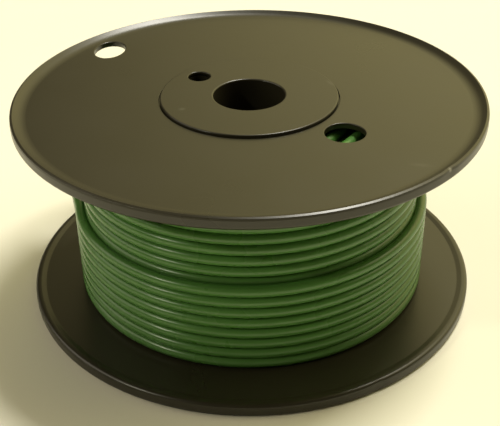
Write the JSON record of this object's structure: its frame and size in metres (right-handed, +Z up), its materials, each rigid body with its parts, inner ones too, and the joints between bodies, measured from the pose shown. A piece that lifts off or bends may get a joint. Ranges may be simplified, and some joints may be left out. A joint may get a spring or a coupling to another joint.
{
  "type": "wire spool",
  "caption": "Flanged plastic spool with a central spindle bore, wound with green insulated wire whose outer end is tucked through the lower flange.",
  "frame": {"origin": "centre of the base, where the spool's axis meets the surface it stands on", "axes": "+Z up along the spool's axis; the wire-end holes of the upper flange lie near the line from -X+Y to +X-Y"},
  "size_m": [0.1142, 0.1142, 0.0519],
  "materials": {
    "black_plastic": "satin moulded polystyrene",
    "green_insulation": "smooth PVC, satin",
    "copper_conductor": "cut strands of bare copper"
  },
  "bodies": {
    "root": {"upper_flange": "black_plastic", "lower_flange": "black_plastic", "upper_hub": "black_plastic", "lower_hub": "black_plastic", "barrel": "black_plastic", "wire_full_layers": "green_insulation", "wire_top_layer": "green_insulation", "wire_outer_end": "green_insulation", "conductor_outer_end": "copper_conductor"}
  },
  "joints": []
}
